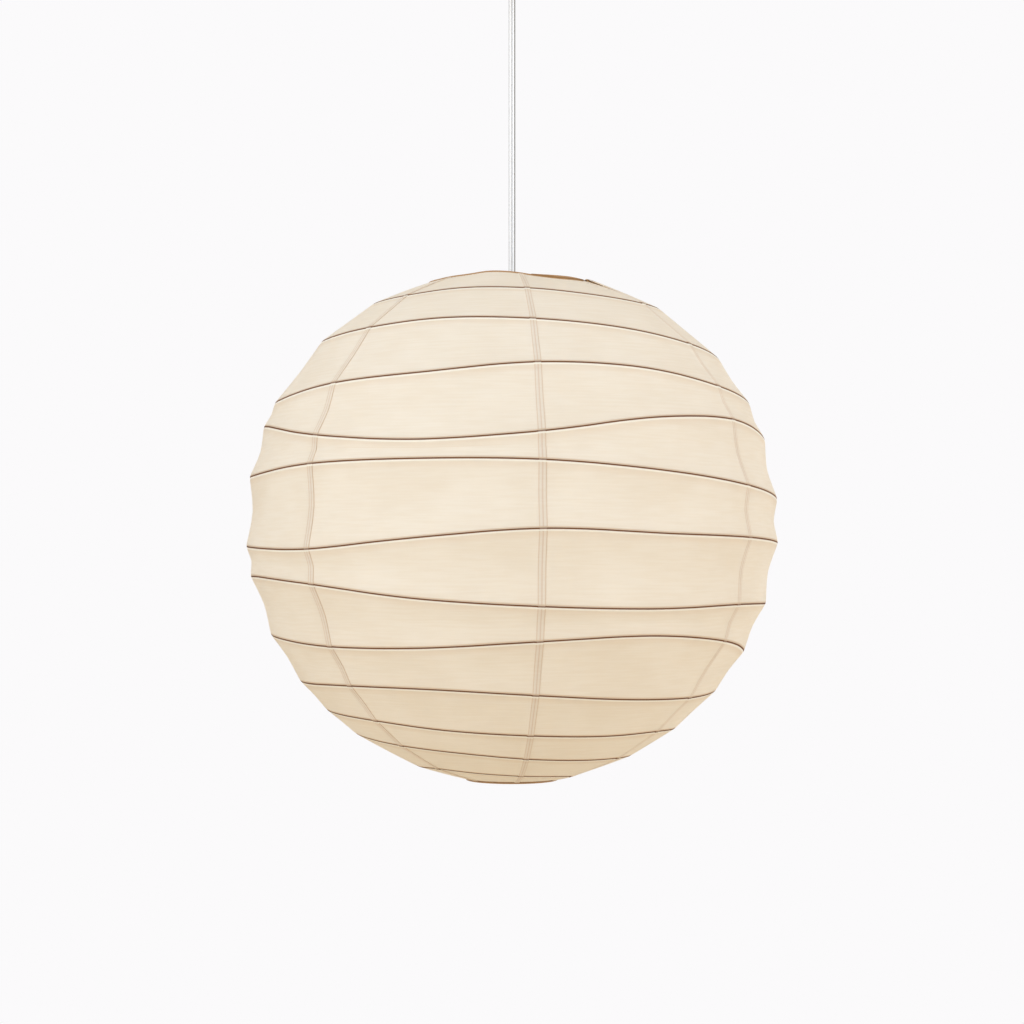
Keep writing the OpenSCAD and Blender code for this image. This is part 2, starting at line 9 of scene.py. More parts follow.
import bpy
import numpy as np
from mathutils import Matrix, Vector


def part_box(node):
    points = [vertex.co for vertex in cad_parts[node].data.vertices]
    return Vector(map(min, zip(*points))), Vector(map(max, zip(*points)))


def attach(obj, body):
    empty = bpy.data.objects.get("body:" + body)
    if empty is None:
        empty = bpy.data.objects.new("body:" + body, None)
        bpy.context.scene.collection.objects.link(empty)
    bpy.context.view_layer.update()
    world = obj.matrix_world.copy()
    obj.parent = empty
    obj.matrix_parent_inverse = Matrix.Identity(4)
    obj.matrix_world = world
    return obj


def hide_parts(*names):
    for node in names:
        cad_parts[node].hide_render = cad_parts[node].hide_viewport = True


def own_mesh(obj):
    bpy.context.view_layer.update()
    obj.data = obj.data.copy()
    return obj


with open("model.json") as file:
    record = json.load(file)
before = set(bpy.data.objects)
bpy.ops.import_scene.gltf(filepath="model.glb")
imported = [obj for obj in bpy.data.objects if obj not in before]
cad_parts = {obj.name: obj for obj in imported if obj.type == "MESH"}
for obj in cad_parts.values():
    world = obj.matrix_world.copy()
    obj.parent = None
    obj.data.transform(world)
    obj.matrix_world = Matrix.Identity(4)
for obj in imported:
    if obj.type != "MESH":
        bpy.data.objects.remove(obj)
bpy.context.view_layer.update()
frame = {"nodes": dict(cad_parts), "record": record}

bl_info = {
    "name": "Paper Lantern Pendant",
    "version": (1, 0, 0),
    "blender": (4, 5, 0),
    "location": "3D View > Sidebar > Lantern",
    "description": "Builds a round paper lantern with its bamboo, lampholder and ceiling cup",
    "category": "Add Mesh",
}

MM = 0.001
TURN = 2 * math.pi
GORES = 7
STATIONS = 42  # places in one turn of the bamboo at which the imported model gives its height
BAND_ROWS = 16  # rows of the paper's mesh from one turn of bamboo to the next
WHOLE_TURNS = 12
TAIL_GORES = 4  # the bamboo ends this many gores after its last whole turn
START_AZ = math.radians(57.4)  # where the bamboo starts, at the first gore's edge
RIB_NODES = [f"rib_turn_{k}" for k in range(1, WHOLE_TURNS + 1)] + ["rib_tail"]
CAP_PITCH = 3.62 * MM  # of the thread that the lampholder's shell and the bulb's cap share


# ---------------------------------------------------------------------------------------
# Sizes and colours
# ---------------------------------------------------------------------------------------


def linear(hex_colour):
    """An sRGB hex colour as linear red, green and blue: c/12.92 below 0.04045, and
    ((c + 0.055) / 1.055)^2.4 above it."""
    values = np.array([int(hex_colour[i : i + 2], 16) for i in (1, 3, 5)]) / 255
    low = values / 12.92
    high = ((values + 0.055) / 1.055) ** 2.4
    return tuple(float(v) for v in np.where(values <= 0.04045, low, high))


def middle_z(node):
    """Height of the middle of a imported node."""
    low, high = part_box(node)
    return (low.z + high.z) / 2


def length(name, text, default):
    """A setting in metres."""
    return bpy.props.FloatProperty(
        name=name, description=text, default=default, min=0.0, unit="LENGTH", precision=5
    )


def colour(name, text, hex_colour):
    """A colour setting, given in sRGB and held linear."""
    return bpy.props.FloatVectorProperty(
        name=name, description=text, default=linear(hex_colour), subtype="COLOR", min=0.0, max=1.0
    )


class ShadeSettings(bpy.types.PropertyGroup):
    """Sizes of the folding shade"""

    diameter: length("Diameter", "Diameter over the widest rib", 0.45)
    upper_height: length("Upper height", "Height of the shade above its widest rib", 0.207)
    upper_fullness: bpy.props.FloatProperty(
        name="Upper fullness", description="2 is an ellipse and more is squarer", default=2.1
    )
    lower_fullness: bpy.props.FloatProperty(
        name="Lower fullness", description="2 is an ellipse and less is more pointed", default=1.97
    )
    top_opening: length("Top opening", "Diameter of the paper at the upper rim", 0.145)
    bottom_opening: length("Bottom opening", "Diameter of the paper at the lower rim", 0.08)
    paper: length("Paper", "Thickness of the paper", 0.0003)
    dip: length("Dip", "How far the paper sinks between two ribs that lie well apart", 0.0040)
    dip_span: length("Dip span", "Distance of ribs that gives three quarters of the dip", 0.034)
    crest: length("Crest", "Radius at which the paper turns over a rib", 0.0055)
    lap: length("Lap", "Width of the pasted lap between two gores", 0.0056)
    rib_width: length("Rib width", "Width of the bamboo strip along the paper", 0.0024)
    rib_thickness: length("Rib thickness", "Thickness of the bamboo strip", 0.0016)


class LanternColours(bpy.types.PropertyGroup):
    """Colours of the visible materials"""

    paper: colour("Paper", "Unbleached mulberry paper", "#F8F6F2")
    paper_glow: colour("Paper glow", "Tint of the light on its way through the paper", "#FAF5EA")
    rib_line: colour("Rib line", "Bamboo as it shows through the paper", "#7A4204")
    # painted highlight: a light line along the paper's crease below each rib, for the light that
    # the paper catches there
    crease_highlight: colour("Crease", "Paste along the lower edge of each rib", "#FFFFFC")
    seam: colour("Seam", "Where two sheets lie over each other", "#E6D8C6")
    bamboo: colour("Bamboo", "Planed split bamboo", "#9E784C")
    flex: colour("Flex", "White insulation of the flex", "#E2E5EB")
    # painted shadow: a dark grey line along the right core's outer edge, for the flex's shaded side
    marker: colour("Marker", "Line printed along one core of the flex", "#6A6A69")


# ---------------------------------------------------------------------------------------
# Meshes
# ---------------------------------------------------------------------------------------


def vertices(node):
    """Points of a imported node, one row each."""
    mesh = frame["nodes"][node].data
    flat = np.empty(len(mesh.vertices) * 3)
    mesh.vertices.foreach_get("co", flat)
    return flat.reshape(-1, 3)


def polar(radius, azimuth, z):
    """Points from cylindrical places: (r sin az, -r cos az, z)."""
    radius, azimuth, z = np.broadcast_arrays(radius, azimuth, z)
    return np.stack([radius * np.sin(azimuth), -radius * np.cos(azimuth), z], axis=-1)


def catmull_rom(values, at):
    """Smooth curve through evenly spaced values, read at a fractional index: the cubic through
    values i and i+1 whose slope at each is half the difference of its two neighbours."""
    last = len(values) - 1
    at = np.clip(at, 0, last)
    i = np.clip(np.floor(at).astype(int), 0, last - 1)
    u = at - i
    a, b, c, d = (values[np.clip(i + step, 0, last)] for step in (-1, 0, 1, 2))
    square = a - 2.5 * b + 2 * c - d / 2
    cube = 1.5 * b - a / 2 - 1.5 * c + d / 2
    return b + u * (c - a) / 2 + u**2 * square + u**3 * cube


def normals(points):
    """Unit normals of a grid of points: the cross product of its two gradients."""
    down = np.gradient(points, axis=0)
    across = np.gradient(points, axis=1)
    found = np.cross(across, down)
    return found / np.linalg.norm(found, axis=-1, keepdims=True)


def closed_mesh(name, rings, uv=None, attributes=None, loop=False, sharp=35.0):
    """A closed mesh from rings of points, an array of rows by points by 3. Each ring closes on
    itself. The first and last ring are filled by quads that join point j to point n-1-j, unless
    loop joins them to each other. uv is one pair, and each attribute one number, for each point.
    The faces are turned to point outwards if the enclosed volume comes out negative."""
    rows, count = rings.shape[:2]
    ids = np.arange(rows * count).reshape(rows, count)
    here, below = (ids, np.roll(ids, -1, 0)) if loop else (ids[:-1], ids[1:])
    sides = np.stack([here, np.roll(here, -1, 1), np.roll(below, -1, 1), below], -1).reshape(-1, 4)
    faces = [sides]
    if not loop:
        j = np.arange(count // 2 - 1)
        zip_up = np.stack([j, count - 1 - j, count - 2 - j, j + 1], -1)
        faces += [ids[0][zip_up], ids[-1][zip_up[:, ::-1]]]
    faces = np.concatenate(faces)
    points = rings.reshape(-1, 3)
    a, b, c, d = (points[faces[:, k]] for k in range(4))
    volume = np.sum(a * np.cross(b, c)) + np.sum(a * np.cross(c, d))
    if volume < 0:
        faces = faces[:, ::-1]
    mesh = bpy.data.meshes.new(name)
    mesh.vertices.add(len(points))
    mesh.vertices.foreach_set("co", points.ravel())
    mesh.loops.add(faces.size)
    mesh.loops.foreach_set("vertex_index", faces.ravel())
    mesh.polygons.add(len(faces))
    mesh.polygons.foreach_set("loop_start", np.arange(len(faces)) * 4)
    mesh.update(calc_edges=True)
    if uv is not None:
        layer = mesh.uv_layers.new(name="flat")
        layer.uv.foreach_set("vector", uv.reshape(-1, 2)[faces.ravel()].astype(np.float32).ravel())
    for key, values in (attributes or {}).items():
        made = mesh.attributes.new(key, "FLOAT", "POINT")
        made.data.foreach_set("value", values.astype(np.float32).ravel())
    mesh.shade_smooth()
    mesh.set_sharp_from_angle(angle=math.radians(sharp))
    mesh.validate()
    piece = bpy.data.objects.new(name, mesh)
    bpy.context.scene.collection.objects.link(piece)
    return piece


def tube(name, centre, section_u, section_v, section, loop=False, **extra):
    """A tube whose ring at each row is centre + x * section_u + y * section_v for each (x, y)
    of the section."""
    rings = (
        centre[:, None]
        + section[None, :, :1] * section_u[:, None]
        + section[None, :, 1:] * section_v[:, None]
    )
    along = np.concatenate([[0], np.cumsum(np.linalg.norm(np.diff(centre, axis=0), axis=1))])
    around = np.arange(len(section)) / len(section)
    uv = np.stack(np.broadcast_arrays(around[None], along[:, None]), -1)
    return closed_mesh(name, rings, uv=uv, loop=loop, **extra)


def oval(width, height, power=2.0, count=12):
    """Points of a superellipse: x = w/2 |cos a|^(2/p), y = h/2 |sin a|^(2/p), with their signs."""
    angle = (np.arange(count) + 0.5) / count * TURN
    cos, sin = np.cos(angle), np.sin(angle)
    x = width / 2 * np.sign(cos) * np.abs(cos) ** (2 / power)
    y = height / 2 * np.sign(sin) * np.abs(sin) ** (2 / power)
    return np.stack([x, y], -1)


def rounded(corners, fillet, steps=5):
    """A profile whose corners are eased: each inner corner becomes the parabola that leaves its
    two sides at the fillet's length from it. The two ends stay where they are."""
    corners = np.array(corners, float) * MM
    corner = corners[1:-1]
    back, ahead = corners[:-2] - corner, corners[2:] - corner
    back_long = np.linalg.norm(back, axis=1, keepdims=True)
    ahead_long = np.linalg.norm(ahead, axis=1, keepdims=True)
    ease = np.broadcast_to(np.asarray(fillet, float).reshape(-1, 1) * MM, (len(corner), 1))
    most = 0.48  # of a side, so that two eased corners never meet
    start = corner + back * np.minimum(ease / back_long, most)
    end = corner + ahead * np.minimum(ease / ahead_long, most)
    t = np.linspace(0, 1, steps)[None, :, None]
    arcs = (1 - t) ** 2 * start[:, None] + 2 * t * (1 - t) * corner[:, None] + t**2 * end[:, None]
    return np.concatenate([corners[:1], arcs.reshape(-1, 2), corners[-1:]])


def wall(radius, from_z, to_z, rows):
    """A straight run of a profile at one radius, cut into rows."""
    z = np.linspace(from_z, to_z, rows)
    return np.stack([np.full(rows, radius), z], -1) * MM


def turned(name, profile, relief=None, count=96, loop=True):
    """A turned piece: the profile's radius and height carried round the axis, with relief of
    (radius, height, azimuth) added to the radius."""
    azimuth = np.arange(count)[None] / count * TURN
    radius, z = profile[:, :1], profile[:, 1:]
    if relief is not None:
        radius = radius + relief(radius, z, azimuth)
    return closed_mesh(name, polar(radius, azimuth, z), loop=loop, sharp=40.0)


def thread(z, azimuth, pitch, depth):
    """Depth of a rolled thread below its crest: d (1 - cos(2 pi z / pitch - azimuth)) / 2."""
    return depth * (1 - np.cos(TURN * z / pitch - azimuth)) / 2


# ---------------------------------------------------------------------------------------
# The shade's form
# ---------------------------------------------------------------------------------------


# How far the bent upper hoop stands above a true circle, in mm, at each 15 degrees from the back
RIM_WAVE = np.array([0.5, 0.2, -0.6, -0.3, 0.6, 0.4, 0.0, -0.6, -1.2, -0.9, -0.5, 0.9,
                     0.0, -2.3, -3.4, -3.1, -2.4, -1.1, 0.0, 0.5, 0.8, 0.2, -0.8, -0.3, 0.5]) * MM


def rim_rise(azimuth):
    """Height of the upper hoop above a true circle, a smooth curve through RIM_WAVE."""
    turn = (azimuth / TURN + 0.5) % 1.0
    return catmull_rom(RIM_WAVE, turn * (len(RIM_WAVE) - 1))


class ShadeForm:
    """The outline that the shade's ribs lie on, and the bamboo's way down it."""

    def __init__(self, sizes):
        self.radius = sizes.diameter / 2
        self.rim_z = middle_z("top_hoop")
        self.foot_z = middle_z("bottom_hoop")
        self.widest_z = self.rim_z - sizes.upper_height
        self.powers = (sizes.upper_fullness, sizes.lower_fullness)
        upper, lower = self.powers
        top, foot = sizes.top_opening / sizes.diameter, sizes.bottom_opening / sizes.diameter
        self.top_angle = math.asin(top ** (upper / 2))
        self.foot_angle = math.pi - math.asin(foot ** (lower / 2))
        self.upper_axis = sizes.upper_height / math.cos(self.top_angle) ** (2 / upper)
        lower_height = self.widest_z - self.foot_z
        self.lower_axis = lower_height / (-math.cos(self.foot_angle)) ** (2 / lower)
        self.rib_angles = self.read_ribs()

    def outline(self, angle):
        """Radius and height of the outline at an angle from the top, a superellipse in each half:
        r = R sin(a)^(2/n) and z = widest + axis |cos a|^(2/n), with n and axis of that half."""
        upper = angle < math.pi / 2
        power = np.where(upper, *self.powers)
        axis = np.where(upper, self.upper_axis, -self.lower_axis)
        radius = self.radius * np.sin(angle) ** (2 / power)
        z = self.widest_z + axis * np.abs(np.cos(angle)) ** (2 / power)
        return np.stack([radius, z], -1)

    def outward(self, angle):
        """Unit normal of the outline at an angle: its tangent turned by a quarter turn."""
        step = 1e-4
        tangent = self.outline(angle + step) - self.outline(angle - step)
        tangent /= np.linalg.norm(tangent, axis=-1, keepdims=True)
        return np.stack([-tangent[..., 1], tangent[..., 0]], -1)

    def read_ribs(self):
        """The outline angle of the bamboo's middle at each station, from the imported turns. Each
        ring of a turn is four points at one azimuth, and a whole turn ends above its start."""
        heights = np.zeros(WHOLE_TURNS * STATIONS + TAIL_GORES * STATIONS // GORES + 1)
        for turn, node in enumerate(RIB_NODES):
            points = np.unique(np.round(vertices(node), 6), axis=0)
            azimuth = np.arctan2(points[:, 0], -points[:, 1]) - START_AZ
            station = np.round(azimuth / TURN * STATIONS).astype(int) % STATIONS
            for i in range(STATIONS):
                z = np.sort(points[station == i, 2])[::-1]
                if len(z) >= 4:
                    heights[turn * STATIONS + i] = z[:4].mean()
                if len(z) == 8:
                    heights[(turn + 1) * STATIONS] = z[4:].mean()
        inset = 1.55 * MM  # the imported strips' middle lies this far inside the outline
        table = np.linspace(self.top_angle, self.foot_angle, 4000)
        z_of = self.outline(table)[:, 1] - inset * np.cos(table)
        return np.interp(-heights, -z_of, table)

    def rib_angle(self, turns):
        """The outline angle of the bamboo after a number of turns from its upper end."""
        return catmull_rom(self.rib_angles, np.asarray(turns) * STATIONS)


def gore_edges(form, band, bands, part):
    """The outline angle at edge number band of a gore's bands: the rim, each rib, the foot."""
    ribs = form.rib_angle(band - 1 + part)
    return np.where(band == 0, form.top_angle, np.where(band == bands, form.foot_angle, ribs))


def gore_surface(form, sizes, bands, band, row, part):
    """Profile of the paper between two ribs. The distance x from the upper rib runs over rows
    that lie close together near both ribs. The paper is the straight line between the ribs less
    a dip of D (1 - (1 - 2e/L)^2), with D = dip g tanh(L / dip span), L the ribs' distance and e
    the distance to the nearer rib, rounded at the ribs by the crest's radius. g = sin(angle)^5, and
    the sheet keeps a share of 1 - g of the outline's own bulge, L^2 / (2R) t (1 - t), so that it
    is fuller towards the rims. Returns radius, height, the line's outward normal, x, L and the
    angle."""
    near = np.array([0, 0.5, 1.0, 1.7, 2.7, 4.2]) * MM
    close = len(near) - 1
    roomy = 14 * MM  # ribs nearer than this draw the rows beside them together
    bulge_kept = 0.3
    upper_angle = gore_edges(form, band, bands, part)
    lower_angle = gore_edges(form, band + 1, bands, part)
    upper, lower = form.outline(upper_angle), form.outline(lower_angle)
    line = lower - upper
    span = np.linalg.norm(line, axis=-1)
    shrink = np.minimum(1, span / roomy)
    edge = near[-1] * shrink
    inner = edge + (span - 2 * edge) * np.clip((row - close) / (BAND_ROWS - 2 * close), 0, 1)
    first = near[np.clip(row, 0, close)] * shrink
    last = span - near[np.clip(BAND_ROWS - row, 0, close)] * shrink
    x = np.where(row <= close, first, np.where(row >= BAND_ROWS - close, last, inner))
    share = x / span
    nearest = np.minimum(x, span - x)
    eased = np.sqrt(nearest**2 + sizes.crest**2) - sizes.crest
    angle = upper_angle + share * (lower_angle - upper_angle)
    slack = np.sin((upper_angle + lower_angle) / 2) ** 5
    depth = sizes.dip * slack * np.tanh(span / sizes.dip_span)
    bulge = bulge_kept * (1 - slack) * span**2 / (2 * form.radius) * share * (1 - share)
    dip = depth * (1 - (1 - 2 * eased / span) ** 2) - bulge
    outward = np.stack([-line[..., 1], line[..., 0]], -1) / span[..., None]
    place = upper + share[..., None] * line - dip[..., None] * outward
    return place, outward, x, span, angle


def lap_share(angle):
    """The share of the lap's width left at an angle, as it narrows towards the rims:
    0.62 + 0.38 sin(angle)^2."""
    return 0.62 + 0.38 * np.sin(angle) ** 2


def gore_mesh(form, sizes, index):
    """One gore as a closed thin sheet. Its columns run down the shade, from a lap under the
    gore before it to a lap over the gore after it, and its rows lie across."""
    first_az = START_AZ + index * TURN / GORES
    bands = WHOLE_TURNS + (2 if index < TAIL_GORES else 1)
    steps = np.arange(bands * BAND_ROWS + 1)
    band = np.minimum(steps // BAND_ROWS, bands - 1)[:, None]
    row = steps[:, None] - band * BAND_ROWS
    open_columns = 32  # between the two laps
    half = sizes.lap / 2
    left = np.array([-1.0, -0.5, 0.0, 0.6, 1.5]) * half
    right = np.array([-1.7, -1.35, -1.08, -0.5, 0.0, 0.5, 1.0]) * half
    # how far each column stands off the sheet under the lap, as a share of stand_off
    rise = np.concatenate([np.zeros(len(left) + open_columns), [0.0, 0.5, 1.0, 1.0, 1.0, 1.0, 1.0]])
    stand_off = 1.4 * sizes.paper

    def lap_angles(across, part):
        """Azimuths of places across the lap at a gore's edge, along the whole edge."""
        edge = gore_surface(form, sizes, bands, band, row, np.full_like(band, part, float))
        return across * lap_share(edge[4]) / edge[0][..., 0]

    left_az = first_az + lap_angles(left, index / GORES)
    right_az = first_az + TURN / GORES + lap_angles(right, (index + 1) / GORES)
    share = np.linspace(0, 1, open_columns + 2)[None, 1:-1]
    between = left_az[:, -1:] + share * (right_az[:, :1] - left_az[:, -1:])
    azimuth = np.concatenate([left_az, between, right_az], 1)
    part = (azimuth - START_AZ) / TURN
    place, outward, x, span, angle = gore_surface(form, sizes, bands, band, row, part)
    place = place + outward * (rise * stand_off)[None, :, None]
    rim_share = np.where(band == 0, np.clip(1 - x / span, 0, 1) ** 2, 0.0)
    place[..., 1] += rim_share * rim_rise(azimuth)
    outer = polar(place[..., 0], azimuth, place[..., 1])
    facing = normals(outer)
    if np.sum(facing[..., :2] * outer[..., :2]) < 0:
        facing = -facing
    inner = outer - facing * sizes.paper
    rings = np.concatenate([outer, inner[:, ::-1]], 1)

    middle_az = first_az + TURN / GORES / 2
    flat = np.stack([place[..., 0] * (azimuth - middle_az), form.radius * angle], -1)
    # in mm. The rim has no line of its own, so the first band counts from the rib below it, which
    # is taken to lie 2 mm below the rim where it is nearer than that
    to_rib = np.where(band == 0, np.maximum(span - x, 2 * MM - x), np.minimum(x, span - x)) / MM
    # 1 below a rib and -1 above the next one, changing over midway between them, and 0 on a rib
    side = np.clip((0.5 - x / span) * 20, -1, 1) * np.clip(to_rib / 0.4, 0, 1)
    # near the rims the paper lies flatter, so the line is drawn wider there, to look as wide
    # from the side, and a little nearer the shade's middle
    slope = np.cos(angle)
    widen = 1 / np.sqrt(np.maximum(1 - 0.75 * slope**2, 0.2))
    towards_middle = 0.75 * slope
    rib_place = to_rib * side / widen - towards_middle
    from_left = (azimuth - first_az) * place[..., 0]
    from_right = (first_az + TURN / GORES - azimuth) * place[..., 0]
    to_seam = np.minimum(np.abs(from_left), np.abs(from_right)) / MM / lap_share(angle)

    def both(values):
        """The outer points' values, and again for the inner points in the ring's order."""
        return np.concatenate([values, values[:, ::-1]], 1)

    return closed_mesh(
        f"paper_panel_{index + 1}",
        rings,
        uv=both(flat),
        attributes={"to_rib": both(to_rib), "rib_place": both(rib_place), "to_seam": both(to_seam)},
    )


# ---------------------------------------------------------------------------------------
# Materials
# ---------------------------------------------------------------------------------------


def add(tree, kind, inputs=(), **settings):
    """Adds a node with its settings, values and links. The inputs are named, or in the order of
    the sockets in use. Each is a value, a socket, or a node whose first output is read."""
    made = tree.nodes.new("ShaderNode" + kind)
    for key, value in settings.items():
        setattr(made, key, value)
    in_use = [socket for socket in made.inputs if socket.enabled]
    for key, value in inputs.items() if isinstance(inputs, dict) else enumerate(inputs):
        socket = made.inputs[key] if isinstance(inputs, dict) else in_use[key]
        if isinstance(value, bpy.types.Node):
            value = next(out for out in value.outputs if out.enabled)
        if isinstance(value, bpy.types.NodeSocket):
            tree.links.new(value, socket)
        else:
            socket.default_value = value
    return made


def new_material(name):
    """An empty material and its node tree."""
    material = bpy.data.materials.new(name)
    material.use_nodes = True
    material.node_tree.nodes.clear()
    return material, material.node_tree


def finish_material(material, shader):
    """Wires the shader to the material's output."""
    add(material.node_tree, "OutputMaterial", {"Surface": shader})
    return material


def rgba(value):
    """A colour with full opacity."""
    return (*tuple(value)[:3], 1.0)


SMOOTH = {"interpolation_type": "SMOOTHSTEP"}
COLOURS = {"data_type": "RGBA"}
TIMES, PLUS, LARGER = ({"operation": name} for name in ("MULTIPLY", "ADD", "MAXIMUM"))


def washi(colours):
    """Mulberry paper, made by hand and left unbleached."""
    # matt and warm, a little cloudy, with fine fibres lying across the sheet. It lets light
    # through, so that the bamboo behind it shows as a brown line and a lap as a darker strip
    material, tree = new_material("mulberry_paper")
    flat = add(tree, "UVMap", uv_map="flat")
    to_rib = add(tree, "Attribute", attribute_name="to_rib").outputs["Fac"]
    place = add(tree, "Attribute", attribute_name="rib_place").outputs["Fac"]
    to_seam = add(tree, "Attribute", attribute_name="to_seam").outputs["Fac"]
    sheet = np.array(colours.paper)

    # streaks of fibre 30 mm long and 2 mm apart, clouds 60 mm across and pulp of 1 mm
    streak_place = add(tree, "Mapping", {"Vector": flat, "Scale": (33, 500, 1)})
    streaks = add(tree, "TexNoise", {"Vector": streak_place, "Scale": 1.0, "Detail": 3.0})
    clouds = add(tree, "TexNoise", {"Vector": flat, "Scale": 17.0, "Detail": 4.0})
    pulp = add(tree, "TexNoise", {"Vector": flat, "Scale": 900.0, "Detail": 2.0})
    fibre_tone = add(tree, "MapRange", (streaks, 0.25, 0.75, -0.5, 0.5), **SMOOTH)
    cloud_tone = add(tree, "MapRange", (clouds, 0.25, 0.75, -0.5, 0.5), **SMOOTH)
    tone = add(tree, "Math", (fibre_tone, cloud_tone), **PLUS)
    tone = add(tree, "MapRange", (tone, -1.0, 1.0, 0.0, 1.0), **SMOOTH)
    paper = add(tree, "Mix", (tone, rgba(sheet * (0.962, 0.944, 0.914)), rgba(sheet)), **COLOURS)

    # two sheets over each other: a darker strip with a line at its edges and down its middle
    strip = add(tree, "MapRange", (to_seam, 2.7, 3.1, 1.0, 0.0), **SMOOTH)
    edge_in = add(tree, "MapRange", (to_seam, 2.2, 2.7, 0.0, 1.0), **SMOOTH)
    edge_out = add(tree, "MapRange", (to_seam, 3.0, 3.5, 1.0, 0.0), **SMOOTH)
    heart = add(tree, "MapRange", (to_seam, 0.2, 0.8, 0.9, 0.0), **SMOOTH)
    lines = add(tree, "Math", (edge_in, edge_out), **TIMES)
    lines = add(tree, "Math", (lines, heart), **LARGER)
    strip_amount = add(tree, "Math", (strip, 0.08), **TIMES)
    line_amount = add(tree, "Math", (lines, 0.34), **TIMES)
    seam_line = rgba(np.array(colours.seam) * (0.84, 0.66, 0.52))
    paper = add(tree, "Mix", (strip_amount, paper, rgba(colours.seam)), **COLOURS)
    paper = add(tree, "Mix", (line_amount, paper, seam_line), **COLOURS)

    # down the sheet past a rib: a painted soft shade, the bamboo's line, a painted highlight along
    # its crease, and a painted warm shade
    beside = add(tree, "MapRange", (to_rib, 3.5, 4.5, 1.0, 0.0), **SMOOTH)
    shade_in = add(tree, "MapRange", (place, -1.9, -0.9, 0.0, 1.0), **SMOOTH)
    shade_out = add(tree, "MapRange", (place, -0.4, 0.4, 0.85, 0.0), **SMOOTH)
    shade = add(tree, "Math", (shade_in, shade_out), **TIMES)
    warm_in = add(tree, "MapRange", (place, 2.2, 3.0, 0.0, 1.0), **SMOOTH)
    warm_out = add(tree, "MapRange", (place, 3.0, 9.0, 0.24, 0.0), **SMOOTH)
    warm_end = add(tree, "MapRange", (to_rib, 7.5, 9.5, 1.0, 0.0), **SMOOTH)
    warm = add(tree, "Math", (warm_in, warm_out), **TIMES)
    warm = add(tree, "Math", (warm, warm_end), **TIMES)
    shade = add(tree, "Math", (shade, beside), **TIMES)
    shade = add(tree, "Math", (shade, warm), **PLUS)
    # painted highlight along the crease, where the paper is drawn tight off the rib's lower edge
    crease_in = add(tree, "MapRange", (place, 0.95, 1.15, 0.0, 1.0), **SMOOTH)
    crease_out = add(tree, "MapRange", (place, 1.9, 2.5, 1.0, 0.0), **SMOOTH)
    crease_highlight = add(tree, "Math", (crease_in, crease_out), **TIMES)
    crease_highlight = add(tree, "Math", (crease_highlight, beside), **TIMES)
    line_in = add(tree, "MapRange", (place, -0.6, 0.05, 0.0, 1.0), **SMOOTH)
    line_out = add(tree, "MapRange", (place, 0.7, 1.0, 1.0, 0.0), **SMOOTH)
    under_lap = add(tree, "MapRange", (strip, 0.0, 1.0, 0.95, 0.72), **SMOOTH)
    line = add(tree, "Math", (line_in, line_out), **TIMES)
    line = add(tree, "Math", (line, under_lap), **TIMES)
    line = add(tree, "Math", (line, beside), **TIMES)
    tan = rgba(sheet * (0.86, 0.74, 0.60))
    # the crease's tint is a painted highlight, and tan gives the painted shade
    paste_and_highlight, brown = rgba(colours.crease_highlight), rgba(colours.rib_line)
    for amount, tint in ((shade, tan), (crease_highlight, paste_and_highlight), (line, brown)):
        paper = add(tree, "Mix", (amount, paper, tint), **COLOURS)

    height = add(tree, "Math", (pulp, streaks), **PLUS)
    bump = add(tree, "Bump", {"Strength": 0.25, "Distance": 0.0001, "Height": height})
    front = add(
        tree, "BsdfPrincipled",
        {"Base Color": paper, "Roughness": 0.85, "Specular IOR Level": 0.3, "Normal": bump},
    )
    warmed = rgba(colours.paper_glow)
    glow = add(tree, "Mix", (1.0, paper, warmed), blend_type="MULTIPLY", **COLOURS)
    behind = add(tree, "BsdfTranslucent", {"Color": glow, "Normal": bump})
    return finish_material(material, add(tree, "MixShader", (0.5, front, behind)))


def bamboo(colours):
    """Split bamboo, planed and left bare."""
    # light brown with straight grain along the strip, darker in its pores, with a dull gloss
    material, tree = new_material("split_bamboo")
    flat = add(tree, "UVMap", uv_map="flat")
    tint = np.array(colours.bamboo)
    # grain rather more than 0.5 mm across, coarser than the real one, in streaks 60 mm long
    place = add(tree, "Mapping", {"Vector": flat, "Scale": (14, 16, 1)})
    grain = add(tree, "TexNoise", {"Vector": place, "Scale": 1.0, "Detail": 5.0})
    shade = add(tree, "Mix", (grain, rgba(tint * 0.6), rgba(tint * 1.3)), **COLOURS)
    bump = add(tree, "Bump", {"Strength": 0.4, "Distance": 0.0001, "Height": grain})
    shader = add(tree, "BsdfPrincipled", {"Base Color": shade, "Roughness": 0.55, "Normal": bump})
    return finish_material(material, shader)


